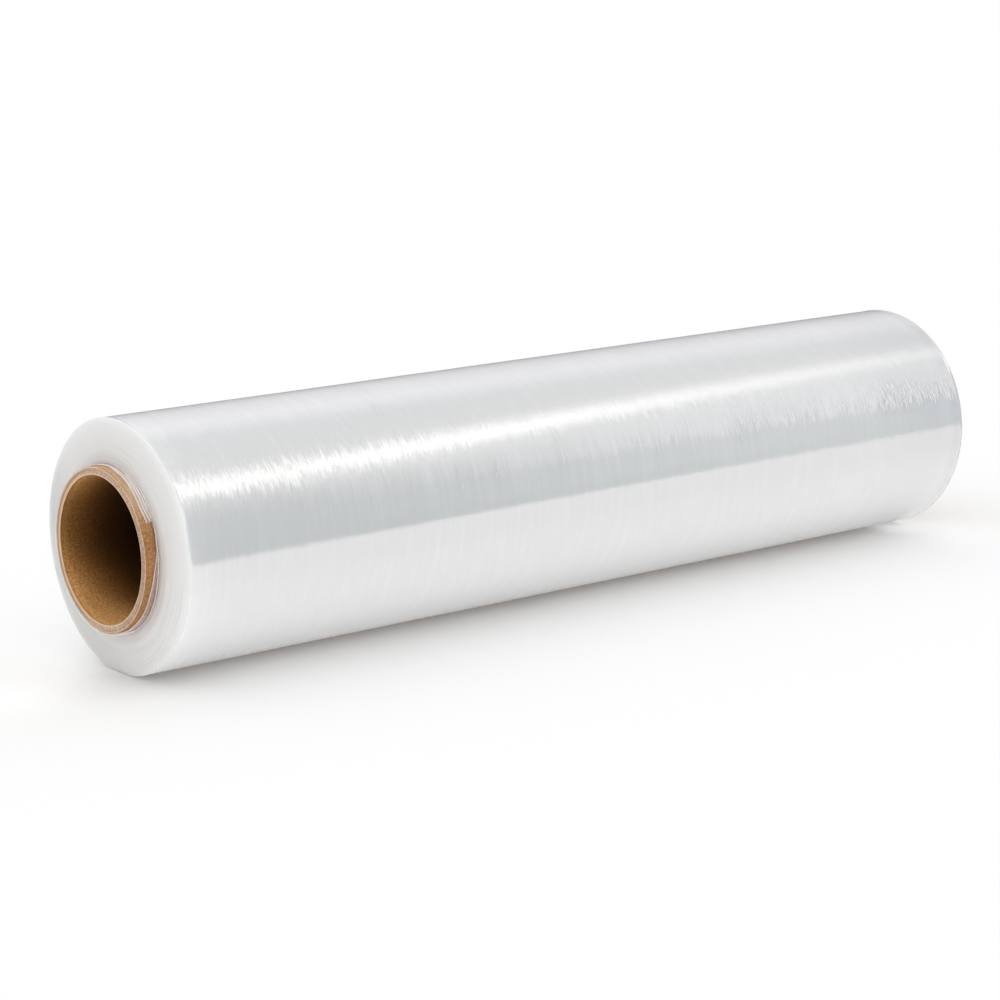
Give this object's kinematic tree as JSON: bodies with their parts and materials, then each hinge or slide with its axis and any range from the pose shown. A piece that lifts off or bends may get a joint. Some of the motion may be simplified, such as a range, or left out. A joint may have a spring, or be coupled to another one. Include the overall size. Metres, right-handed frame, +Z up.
{
  "type": "cling film roll",
  "caption": "Roll of clear cling film wound on a plain brown paper core that stands out a little at both ends.",
  "frame": {"origin": "middle of the flat spot that the roll rests on, midway between its ends", "axes": "+X along the roll's axis, away from the end where the inner turns creep out along the core; +Z up"},
  "size_m": [0.311, 0.071, 0.0707],
  "materials": {
    "kraft_paperboard": "matt, mottled kraft paper",
    "clear_film": "glossy clear film, milky in bulk"
  },
  "bodies": {
    "root": {"paper_core": "kraft_paperboard", "film_winding": "clear_film"}
  },
  "joints": []
}
